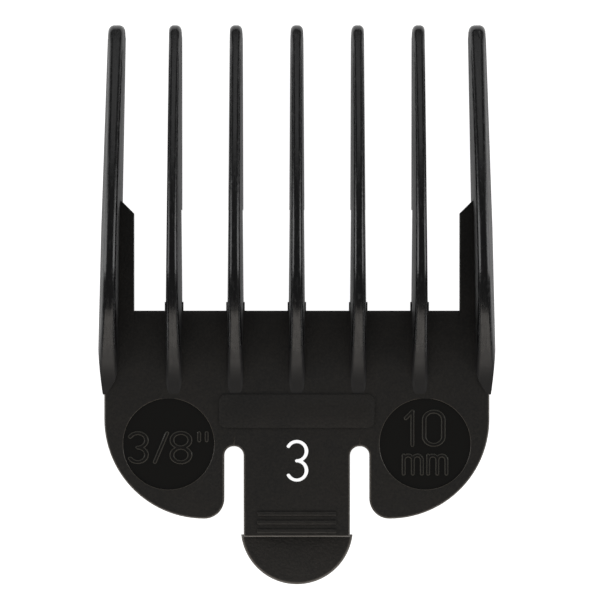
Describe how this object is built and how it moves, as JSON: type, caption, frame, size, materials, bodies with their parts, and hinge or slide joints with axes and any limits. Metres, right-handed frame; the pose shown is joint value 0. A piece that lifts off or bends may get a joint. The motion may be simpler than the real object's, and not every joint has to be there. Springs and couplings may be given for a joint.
{
  "type": "clipper guard comb",
  "caption": "Clip-on guard comb for a hair clipper: long curved teeth on a flat plate, with a flexing release tab that snaps behind the blade.",
  "frame": {"origin": "on the centre line of the flat blade seat under the plate, 8.6 mm behind the plate's front edge", "axes": "+X to the right, +Y toward the tooth tips, +Z from the blade seat toward the skin side"},
  "size_m": [0.05, 0.0714, 0.0126],
  "materials": {
    "black_nylon_textured": "fine moulded texture",
    "black_nylon_polished": "polished moulding"
  },
  "bodies": {
    "comb": {"base_plate": "black_nylon_textured", "left_blade_ledge": "black_nylon_polished", "right_blade_ledge": "black_nylon_polished", "left_outer_tooth": "black_nylon_polished", "right_outer_tooth": "black_nylon_polished", "inner_tooth_1": "black_nylon_polished", "inner_tooth_2": "black_nylon_polished", "inner_tooth_3": "black_nylon_polished", "inner_tooth_4": "black_nylon_polished", "inner_tooth_5": "black_nylon_polished", "tab_root": "black_nylon_textured", "inch_size_mark": "black_nylon_polished", "metric_size_mark": "black_nylon_polished", "blank_name_panel": "black_nylon_textured"},
    "release_tab": {"tab_leaf": "black_nylon_textured", "heel_hook": "black_nylon_polished", "thumb_lip": "black_nylon_textured", "release_grip_ribs": "black_nylon_textured"}
  },
  "joints": [
    {"name": "release_tab_flex", "type": "hinge", "parent": "comb", "child": "release_tab", "pos_m": [0, -0.0106, 0.0008], "axis": [-1, 0, 0], "range_deg": [-3, 10], "stiffness_Nm_per_rad": 0.9, "deforming": ["tab_root"]}
  ]
}
